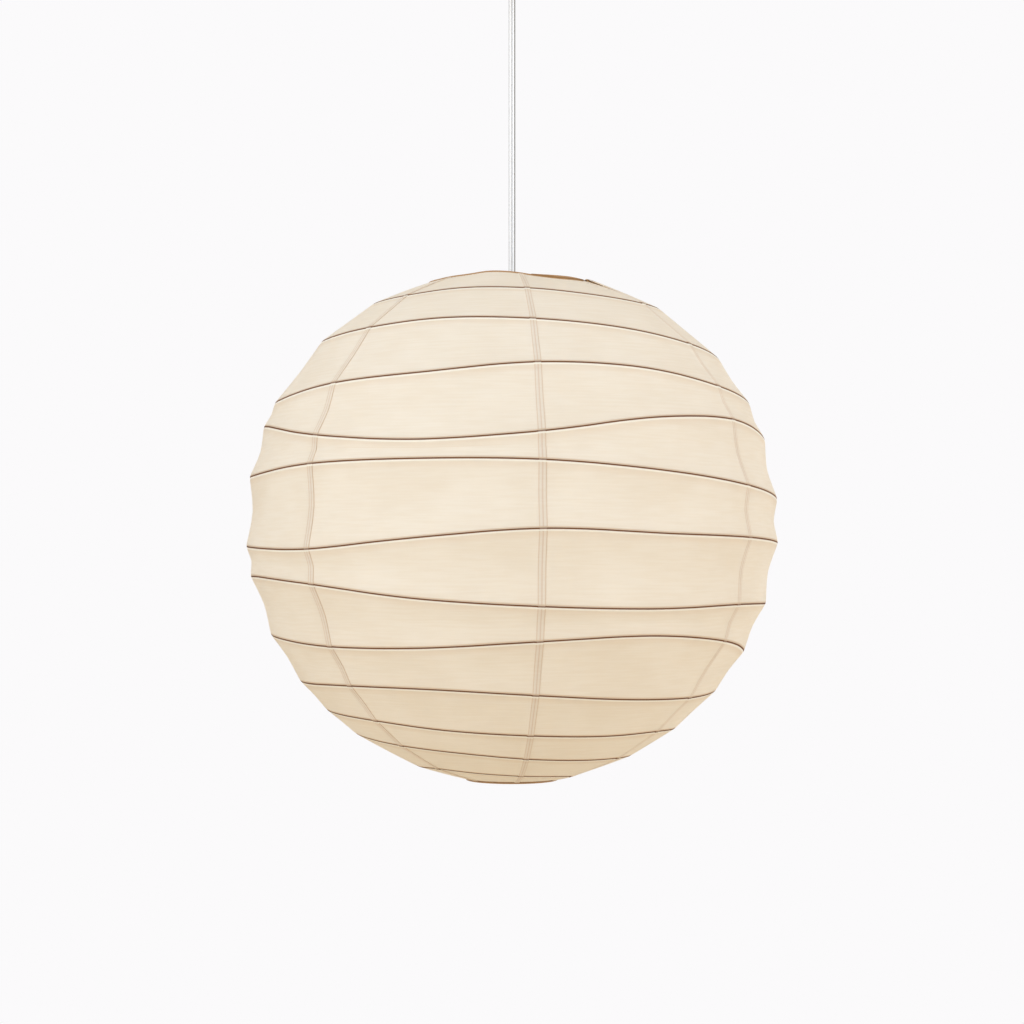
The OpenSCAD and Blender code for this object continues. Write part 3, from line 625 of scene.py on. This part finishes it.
def flex_finish(colours):
    """White PVC, extruded over two cores side by side."""
    # satin and smooth, with painted shade: grey in the groove between the cores and along the left
    # core's outer edge, and a dark grey line along the right core's outer edge for its shadow side
    material, tree = new_material("white_twin_flex")
    across = add(tree, "Attribute", attribute_name="across").outputs["Fac"]
    place = add(tree, "TexCoord").outputs["Object"]
    grime = add(tree, "TexNoise", {"Vector": place, "Scale": 60.0, "Detail": 2.0})
    white = np.array(colours.flex)
    grey, marker = rgba(white * 0.5), rgba(colours.marker)
    shade = add(tree, "Mix", (grime, rgba(white * 0.97), rgba(white)), **COLOURS)
    # painted shade: the two grey lines darken the groove and the left edge, and the dark line the
    # right edge's shadow side
    # each line's place across the flex, its half width, where it ends and its strength
    for middle, inner, outer, strength, tint in (
        (0.0, 0.04, 0.16, 0.8, grey), (-0.9, 0.08, 0.22, 0.7, grey), (0.82, 0.12, 0.2, 1.0, marker),
    ):
        away = add(tree, "Math", (across, middle), operation="SUBTRACT")
        away = add(tree, "Math", (away,), operation="ABSOLUTE")
        amount = add(tree, "MapRange", (away, inner, outer, strength, 0.0), **SMOOTH)
        shade = add(tree, "Mix", (amount, shade, tint), **COLOURS)
    shader = add(tree, "BsdfPrincipled", {"Base Color": shade, "Roughness": 0.42})
    return finish_material(material, shader)


def plain(name, hex_colour, roughness, metallic, bump_strength, pattern_mm):
    """A moulded, pressed or plated finish: its tone and gloss vary a little with a pattern."""
    material, tree = new_material(name)
    base = np.array(linear(hex_colour))
    place = add(tree, "TexCoord").outputs["Object"]
    per_metre = 1 / (pattern_mm * MM)
    pattern = add(tree, "TexNoise", {"Vector": place, "Scale": per_metre, "Detail": 3.0})
    # handling and dust leave wider, fainter patches 25 mm across
    patches = add(tree, "TexNoise", {"Vector": place, "Scale": 40.0, "Detail": 2.0})
    both = add(tree, "Math", (pattern, patches), **PLUS)
    mixed = add(tree, "MapRange", (both, 0.6, 1.4, 0.0, 1.0), **SMOOTH)
    dull, fresh = rgba(base * 0.965), rgba(np.minimum(base * 1.015, 1))
    shade = add(tree, "Mix", (mixed, dull, fresh), **COLOURS)
    rough = add(tree, "MapRange", (mixed, 0.0, 1.0, roughness * 0.8, min(1.0, roughness * 1.2)))
    bump = add(tree, "Bump", {"Strength": bump_strength, "Distance": 0.00005, "Height": pattern})
    shader = add(
        tree, "BsdfPrincipled",
        {"Base Color": shade, "Roughness": rough, "Metallic": metallic, "Normal": bump},
    )
    return finish_material(material, shader)


# slot: name, colour, roughness, metallic, bump strength and the pattern's size in mm
FINISHES = {
    # rolled sheet, pressed and zinc plated: a bright, cool grey with faint cloudy spangle
    "zinc_steel": ("bright_zinc_plate", "#B9BCBE", 0.34, 1.0, 0.15, 2.5),
    # turned and barrel plated: bright, with fine marks from the barrel
    "screw_steel": ("zinc_plated_screw", "#B4B6B8", 0.3, 1.0, 0.1, 0.3),
    # steel strip and wire, powder coated: off-white with the fine peel of melted powder
    "spring_steel": ("powder_coated_steel", "#DDDCD6", 0.5, 0.0, 0.4, 0.8),
    # moulded and left natural: waxy and a little yellow
    "nylon": ("natural_nylon", "#EDEBE2", 0.48, 0.0, 0.1, 1.5),
    # extruded PVC over a stranded lead: satin blue
    "lead_insulation": ("blue_lead_insulation", "#3D66A8", 0.45, 0.0, 0.1, 1.0),
    # drawn and unlacquered: yellow metal with a soft gloss
    "brass": ("drawn_brass", "#D2A860", 0.28, 1.0, 0.1, 0.5),
    # moulded in a polished tool: glossy white with the faintest waviness
    "cup_plastic": ("polished_white_moulding", "#DFE0DD", 0.32, 0.0, 0.12, 4.0),
    # pressed thermoset: white and half matt with a fine grain from the tool
    "holder_plastic": ("white_thermoset", "#E4E3DC", 0.38, 0.0, 0.15, 0.6),
    # pressed and fired bare: matt, warm white, a little gritty
    "porcelain": ("unglazed_porcelain", "#EDEAE0", 0.7, 0.0, 0.3, 0.5),
    # blown polycarbonate: milky and smooth
    "opal_diffuser": ("opal_diffuser", "#ECE9DF", 0.35, 0.0, 0.05, 5.0),
    # moulded polycarbonate: satin white
    "bulb_plastic": ("white_bulb_housing", "#E6E5E1", 0.4, 0.0, 0.08, 1.0),
    # aluminium board under white solder resist
    "board_white": ("aluminium_led_board", "#EEF0F0", 0.4, 0.0, 0.05, 1.0),
    # glass-fibre board under green solder resist, its weave showing through
    "board_green": ("green_solder_resist", "#1F6B3C", 0.35, 0.0, 0.2, 0.6),
    # rolled sheet, nickel plated: a warm grey, bright metal
    "nickel": ("nickel_plate", "#C4C1BB", 0.22, 1.0, 0.05, 1.5),
    # fused black glass: glossy, nearly black
    "black_glass": ("black_fused_glass", "#101012", 0.15, 0.0, 0.05, 3.0),
}
made_finishes = {}


def finish_of(slot):
    """The material of one of the record's slots, made once."""
    colours = bpy.context.scene.lantern_colours
    if slot not in made_finishes:
        if slot == "paper":
            made_finishes[slot] = washi(colours)
        elif slot == "bamboo":
            made_finishes[slot] = bamboo(colours)
        elif slot == "flex_pvc":
            made_finishes[slot] = flex_finish(colours)
        else:
            made_finishes[slot] = plain(*FINISHES[slot])
    return made_finishes[slot]


def dress(piece, body, slot, *nodes):
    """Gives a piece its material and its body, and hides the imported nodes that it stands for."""
    piece.data.materials.clear()
    piece.data.materials.append(finish_of(slot))
    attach(piece, body)
    if nodes:
        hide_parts(*nodes)


def fold_with_shade(piece):
    """Gives a soft piece its own copy of its mesh."""
    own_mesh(piece)


# ---------------------------------------------------------------------------------------
# Operators
# ---------------------------------------------------------------------------------------


class LANTERN_OT_stage(bpy.types.Operator):
    """Adds the floor, the backdrop light, the lamps and the camera"""

    bl_idname = "lantern.stage"
    bl_label = "Stage"

    def execute(self, context):
        scene = context.scene
        scene.view_settings.view_transform = "Standard"
        backdrop = rgba(linear("#FBFAFB"))
        self.light_world(scene, backdrop)
        self.lay_floor(scene, backdrop)
        self.hang_lamps(scene)
        self.place_camera(scene)
        return {"FINISHED"}

    def light_world(self, scene, backdrop):
        """An even warm light, and the pale backdrop where the camera or a reflection sees it."""
        world = bpy.data.worlds.new("studio")
        scene.world = world
        world.use_nodes = True
        tree = world.node_tree
        tree.nodes.clear()
        path = add(tree, "LightPath").outputs
        seen = add(tree, "Math", (path["Is Camera Ray"], path["Is Glossy Ray"]), **LARGER)
        seen = add(tree, "Math", (seen, path["Is Transmission Ray"]), **LARGER)
        light = add(tree, "Background", {"Color": rgba(linear("#FFF9F0")), "Strength": 0.9})
        pale = add(tree, "Background", {"Color": backdrop, "Strength": 1.0})
        add(tree, "OutputWorld", {"Surface": add(tree, "MixShader", (seen, light, pale))})

    def lay_floor(self, scene, backdrop):
        """A wide matt floor, which the camera sees as plain as the backdrop."""
        floor_z, half = -2.4, 6.0
        square = ((-1, -1), (1, -1), (1, 1), (-1, 1))
        mesh = bpy.data.meshes.new("floor")
        mesh.from_pydata([(x * half, y * half, floor_z) for x, y in square], [], [(0, 1, 2, 3)])
        floor = bpy.data.objects.new("floor", mesh)
        scene.collection.objects.link(floor)
        material, tree = new_material("pale_floor")
        path = add(tree, "LightPath").outputs
        seen = add(tree, "Math", (path["Is Camera Ray"], path["Is Glossy Ray"]), **LARGER)
        matt = add(tree, "BsdfDiffuse", {"Color": rgba(linear("#F8EBD6"))})
        pale = add(tree, "Emission", {"Color": backdrop, "Strength": 1.0})
        mesh.materials.append(finish_material(material, add(tree, "MixShader", (seen, matt, pale))))

    def hang_lamps(self, scene):
        """Three wide round lamps that face the shade's middle: left, right and above."""
        width = 1.4
        middle = (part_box("top_hoop")[1].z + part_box("bottom_hoop")[0].z) / 2
        for name, place, watts, tint in (
            ("key_lamp", (-1.5, -2.4, 0.1), 35.0, "#F0F8FF"),
            ("side_lamp", (2.4, -0.3, -0.5), 20.5, "#FFFFFF"),
            ("top_lamp", (0.0, -1.6, 1.3), 8.0, "#F7FCFF"),
        ):
            data = bpy.data.lights.new(name, "AREA")
            data.shape = "DISK"
            data.size = width
            data.energy = watts
            data.color = linear(tint)
            lamp = bpy.data.objects.new(name, data)
            scene.collection.objects.link(lamp)
            lamp.location = place
            lamp.rotation_euler = to_euler(np.array([0, 0, middle]) - np.array(place))

    def place_camera(self, scene):
        """A long lens in front of the shade, a little below its widest rib and tilted up."""
        camera = bpy.data.objects.new("camera", bpy.data.cameras.new("camera"))
        scene.collection.objects.link(camera)
        widest = middle_z("top_hoop") - scene.lantern_shade.upper_height
        distance, below_widest, tilt = 1.772, 0.0407, math.radians(1.73)
        camera.data.sensor_width = 36.0
        camera.data.lens = 73.125
        camera.location = (0, -distance, widest - below_widest)
        camera.rotation_euler = (math.pi / 2 + tilt, 0, 0)
        scene.camera = camera


def to_euler(aim):
    """The turn that points a lamp's -Z along aim."""
    x, y, z = aim / np.linalg.norm(aim)
    return (math.acos(-z), 0, math.atan2(y, x) - math.pi / 2)


class LANTERN_OT_flex(bpy.types.Operator):
    """Adds the flat twin flex from the cord grip to the lampholder"""

    bl_idname = "lantern.flex"
    bl_label = "Flex"

    def execute(self, context):
        low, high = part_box("cord")
        lobe = (high.x - low.x) / 4
        web = 0.3 * lobe
        # two round cores side by side, joined by a narrow web: an arc of each from web to web
        start = math.asin(web / lobe)
        arc = np.linspace(math.pi - start, -math.pi + start, 15)
        right = np.stack([lobe + lobe * np.cos(arc), lobe * np.sin(arc)], -1)
        section = np.concatenate([right, -right])
        z = np.linspace(high.z, low.z, 40)
        centre = polar(0, 0, z)
        across = np.tile([1.0, 0, 0], (len(z), 1))
        along_y = np.tile([0, 1.0, 0], (len(z), 1))
        share = np.tile(section[:, 0] / (2 * lobe), (len(z), 1))
        piece = tube("twin_flex", centre, across, along_y, section, attributes={"across": share})
        dress(piece, "cord_set", "flex_pvc", "cord")
        return {"FINISHED"}


class LANTERN_OT_paper(bpy.types.Operator):
    """Adds the seven paper gores, pasted over each other at their edges"""

    bl_idname = "lantern.paper"
    bl_label = "Paper gores"

    def execute(self, context):
        sizes = context.scene.lantern_shade
        form = ShadeForm(sizes)
        for index in range(GORES):
            piece = gore_mesh(form, sizes, index)
            dress(piece, "lamp", "paper", f"paper_gore_{index + 1}")
            fold_with_shade(piece)
        return {"FINISHED"}


class LANTERN_OT_bamboo(bpy.types.Operator):
    """Adds the bamboo spiral, one strip for each turn"""

    bl_idname = "lantern.bamboo"
    bl_label = "Bamboo spiral"

    def execute(self, context):
        sizes = context.scene.lantern_shade
        form = ShadeForm(sizes)
        section = oval(sizes.rib_thickness, sizes.rib_width, power=4.0)
        paste_and_highlight = 0.05 * MM
        inset = sizes.paper + paste_and_highlight + sizes.rib_thickness / 2
        splice = 0.0006  # of a turn, from the end of one strip to the start of the next
        for turn, node in enumerate(RIB_NODES):
            share, rows = (1, 181) if turn < WHOLE_TURNS else (TAIL_GORES / GORES, 105)
            turns = turn + np.linspace(splice, share, rows)
            angle = form.rib_angle(turns)
            outward = form.outward(angle)
            place = form.outline(angle) - inset * outward
            azimuth = START_AZ + turns * TURN
            centre = polar(place[:, 0], azimuth, place[:, 1])
            out = polar(outward[:, 0], azimuth, outward[:, 1])
            down = polar(outward[:, 1], azimuth, -outward[:, 0])
            piece = tube(f"bamboo_{node[4:]}", centre, out, down, section)
            dress(piece, "lamp", "bamboo", node)
            fold_with_shade(piece)
        return {"FINISHED"}


class LANTERN_OT_hoops(bpy.types.Operator):
    """Adds the two rim hoops and the upper hoop's lapped end"""

    bl_idname = "lantern.hoops"
    bl_label = "Rim hoops"

    def execute(self, context):
        steps = 144
        for name, node, body in (
            ("upper_rim", "top_hoop", "lamp"),
            ("lower_rim", "bottom_hoop", "lower_hoop"),
        ):
            low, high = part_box(node)
            thick = high.z - low.z
            azimuth = np.linspace(0, TURN, steps, endpoint=False)
            rise = rim_rise(azimuth) if node == "top_hoop" else 0.0
            centre = polar(high.x - thick / 2, azimuth, (low.z + high.z) / 2 + rise)
            out = polar(1.0, azimuth, 0.0)
            up = polar(0.0, azimuth, 1.0)
            piece = tube(name, centre, out, up, oval(thick, thick, power=2.4, count=16), loop=True)
            dress(piece, body, "bamboo", node)
        self.add_lap()
        return {"FINISHED"}

    def add_lap(self):
        """The upper hoop's pared end, lying on the hoop: at a share u of its length it is
        0.2 + 0.8 sin(u pi) of its full thickness."""
        low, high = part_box("top_hoop")
        thick = high.z - low.z
        width, full, sunk = 2.6 * MM, 1.8 * MM, 0.1 * MM
        start, sweep = 13, 44  # degrees
        share = np.linspace(0, 1, 40)
        azimuth = np.radians(start + share * sweep)
        thickness = full * (0.2 + 0.8 * np.sin(np.pi * share))
        z = high.z + rim_rise(azimuth) - sunk + thickness / 2
        centre = polar(high.x - thick / 2, azimuth, z)
        out = polar(1.0, azimuth, 0.0)
        up = polar(0.0, azimuth, 1.0) * (thickness / full)[:, None]
        piece = tube("upper_rim_lap", centre, out, up, oval(width, full, power=4.0))
        dress(piece, "lamp", "bamboo", "top_hoop_lap")


class LANTERN_OT_ceiling_cup(bpy.types.Operator):
    """Adds the cup that covers the ceiling hook, with its eased bottom and thickened lip"""

    bl_idname = "lantern.ceiling_cup"
    bl_label = "Ceiling cup"

    def execute(self, context):
        profile = rounded(
            [(5.1, -69), (5.1, -70), (54, -70), (54, -10.01), (51.2, -10.01), (51.2, -12.5),
             (52, -14.5), (52, -68), (5.1, -68)],
            [0.3, 12, 0.8, 0.6, 1.0, 1.0, 10], steps=9,
        )
        piece = turned("ceiling_cup_shell", profile, count=128)
        dress(piece, "cup", "cup_plastic", "ceiling_cup")
        return {"FINISHED"}


class LANTERN_OT_lampholder(bpy.types.Operator):
    """Adds the threaded lampholder body, its scalloped clamp ring and its brass thread shell"""

    bl_idname = "lantern.lampholder"
    bl_label = "Lampholder"

    def execute(self, context):
        upper = rounded(
            [(14.8, -382), (17.3, -382), (17.3, -392), (23, -392), (23, -394), (18.6, -394),
             (18.6, -396)],
            [0.4, 0.5, 0.6, 0.6, 0.3],
        )
        lower = rounded([(18.6, -424.5), (18.6, -425.4), (18.0, -426), (14.8, -426)], 0.4)
        profile = np.concatenate([upper, wall(18.6, -396.4, -424.2, 72), lower])

        def outer_thread(radius, z, azimuth):
            """The coarse thread for the clamp ring, fading out at both its ends."""
            inside = np.clip((z / MM + 424) / 2, 0, 1) * np.clip((-397 - z / MM) / 2, 0, 1)
            return -thread(z, azimuth, pitch=4 * MM, depth=0.9 * MM) * inside * (radius > 18 * MM)

        piece = turned("lampholder_body", profile, outer_thread)
        dress(piece, "lamp", "holder_plastic", "holder_body")

        profile = rounded(
            [(18.8, -404.5), (23.8, -404.5), (23.8, -399), (28, -398.5), (28, -395.5),
             (18.8, -395.5)],
            [0.8, 0.6, 0.8, 0.8],
        )

        def grips(radius, z, azimuth):
            """Twelve finger hollows round the flange, and fine ribs round the body."""
            hollow = (0.5 + 0.5 * np.cos(12 * (azimuth - TURN / 24))) ** 4
            ribs = 0.22 * np.cos(60 * azimuth) * (np.abs(z / MM + 401.5) < 2.6)
            on_flange = np.clip(radius / MM - 24.2, 0, 1)
            on_body = (radius > 23 * MM) * (1 - on_flange)
            return (-2.0 * hollow * on_flange + ribs * on_body) * MM

        piece = turned("shade_clamp_ring", profile, grips, count=360)
        dress(piece, "lamp", "holder_plastic", "clamp_ring")

        profile = np.concatenate([wall(14.45, -393.1, -417.1, 60), wall(13.95, -417.1, -393.1, 60)])

        def rolled(radius, z, azimuth):
            """The thread that takes the bulb's cap."""
            return -thread(z, azimuth, CAP_PITCH, depth=0.35 * MM)

        piece = turned("brass_thread_shell", profile, rolled)
        dress(piece, "lamp", "brass", "thread_shell")
        return {"FINISHED"}


class LANTERN_OT_bulb(bpy.types.Operator):
    """Adds the bulb's flared housing, its rolled screw cap, glass insulator and solder contact"""

    bl_idname = "lantern.bulb"
    bl_label = "Bulb"

    def execute(self, context):
        # the flare follows r = 13 + 10.8 (1 - cos(pi t)) / 2 down its height t
        t = np.linspace(0, 1, 24)
        z = -424.35 - 27.9 * t
        outside = np.stack([13.0 + 10.8 * (1 - np.cos(np.pi * t)) / 2, z], -1)
        inside = outside[::-1] - (1.8, 0)
        profile = np.concatenate([
            [(13.0, -420.35)], outside, [(23.4, -452.6), (23.4, -453.1), (21.8, -453.1)], inside,
            [(11.2, -420.35)],
        ])
        piece = turned("bulb_housing_shell", profile * MM)
        dress(piece, "bulb", "bulb_plastic", "bulb_housing")

        top = rounded([(0.4, -399.35), (10.4, -399.35), (12.6, -401), (13.2, -402)], 0.8)
        skirt = rounded(
            [(13.2, -418), (13.2, -420.35), (12.5, -420.35), (11.6, -418), (11.6, -401.5),
             (0.4, -400.4)], 0.3
        )
        profile = np.concatenate([top, wall(13.2, -402.3, -417.6, 50), skirt])

        def rolled(radius, z, azimuth):
            """The screw thread, fading out at both its ends, and the dents that fix the cap."""
            inside = np.clip((z / MM + 417.5) / 1.5, 0, 1) * np.clip((-402 - z / MM) / 1.5, 0, 1)
            stamped = 0.25 * (0.5 + 0.5 * np.cos(8 * azimuth)) ** 12 * (np.abs(z / MM + 418.8) < 1)
            cut = thread(z, azimuth, CAP_PITCH, depth=0.85 * MM) * inside + stamped * MM
            return -cut * (radius > 13 * MM)

        piece = turned("bulb_screw_cap", profile, rolled, loop=False)
        dress(piece, "bulb", "nickel", "bulb_cap")

        glass = rounded(
            [(0.4, -395.85), (6, -395.85), (10.2, -399), (10.2, -399.35), (0.4, -399.35)], 0.5
        )
        piece = turned("bulb_glass_insulator", glass, count=64, loop=False)
        dress(piece, "bulb", "black_glass", "bulb_insulator")

        # the solder stands up as a low dome, z = top - 1.3 (r / 4.5)^2.4
        r = np.linspace(0.2, 4.5, 12)
        dome = np.stack([r, -394.35 - 1.3 * (r / 4.5) ** 2.4], -1)
        button = np.concatenate([dome, [(4.5, -395.85), (0.2, -395.85)]]) * MM
        piece = turned("bulb_solder_contact", button, count=64, loop=False)
        dress(piece, "bulb", "nickel", "bulb_contact")
        return {"FINISHED"}


class LANTERN_OT_fittings(bpy.types.Operator):
    """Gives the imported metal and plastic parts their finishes"""

    bl_idname = "lantern.fittings"
    bl_label = "Fittings"

    def execute(self, context):
        for row in frame["record"]["subparts"]:
            piece = frame["nodes"][row["node"]]
            if not piece.hide_render:
                piece.data.materials.clear()
                piece.data.materials.append(finish_of(row["material_slot"]))
        return {"FINISHED"}


class LANTERN_PT_panel(bpy.types.Panel):
    """Lists the lantern's steps and sizes"""

    bl_idname = "LANTERN_PT_panel"
    bl_label = "Paper lantern"
    bl_space_type = "VIEW_3D"
    bl_region_type = "UI"
    bl_category = "Lantern"

    def draw(self, context):
        for step in STEPS:
            self.layout.operator(step.bl_idname)
        for group in (context.scene.lantern_shade, context.scene.lantern_colours):
            box = self.layout.box()
            for key in type(group).__annotations__:
                box.prop(group, key)


SETTINGS = (ShadeSettings, LanternColours)
STEPS = (
    LANTERN_OT_stage,
    LANTERN_OT_flex,
    LANTERN_OT_paper,
    LANTERN_OT_bamboo,
    LANTERN_OT_hoops,
    LANTERN_OT_ceiling_cup,
    LANTERN_OT_lampholder,
    LANTERN_OT_bulb,
    LANTERN_OT_fittings,
)


def register():
    for made in (*SETTINGS, *STEPS, LANTERN_PT_panel):
        bpy.utils.register_class(made)
    bpy.types.Scene.lantern_shade = bpy.props.PointerProperty(type=ShadeSettings)
    bpy.types.Scene.lantern_colours = bpy.props.PointerProperty(type=LanternColours)


def unregister():
    del bpy.types.Scene.lantern_colours
    del bpy.types.Scene.lantern_shade
    for made in (LANTERN_PT_panel, *reversed(STEPS), *reversed(SETTINGS)):
        bpy.utils.unregister_class(made)


def main():
    register()
    for step in STEPS:
        area, name = step.bl_idname.split(".")
        getattr(getattr(bpy.ops, area), name)()


if __name__ == "__main__":
    main()
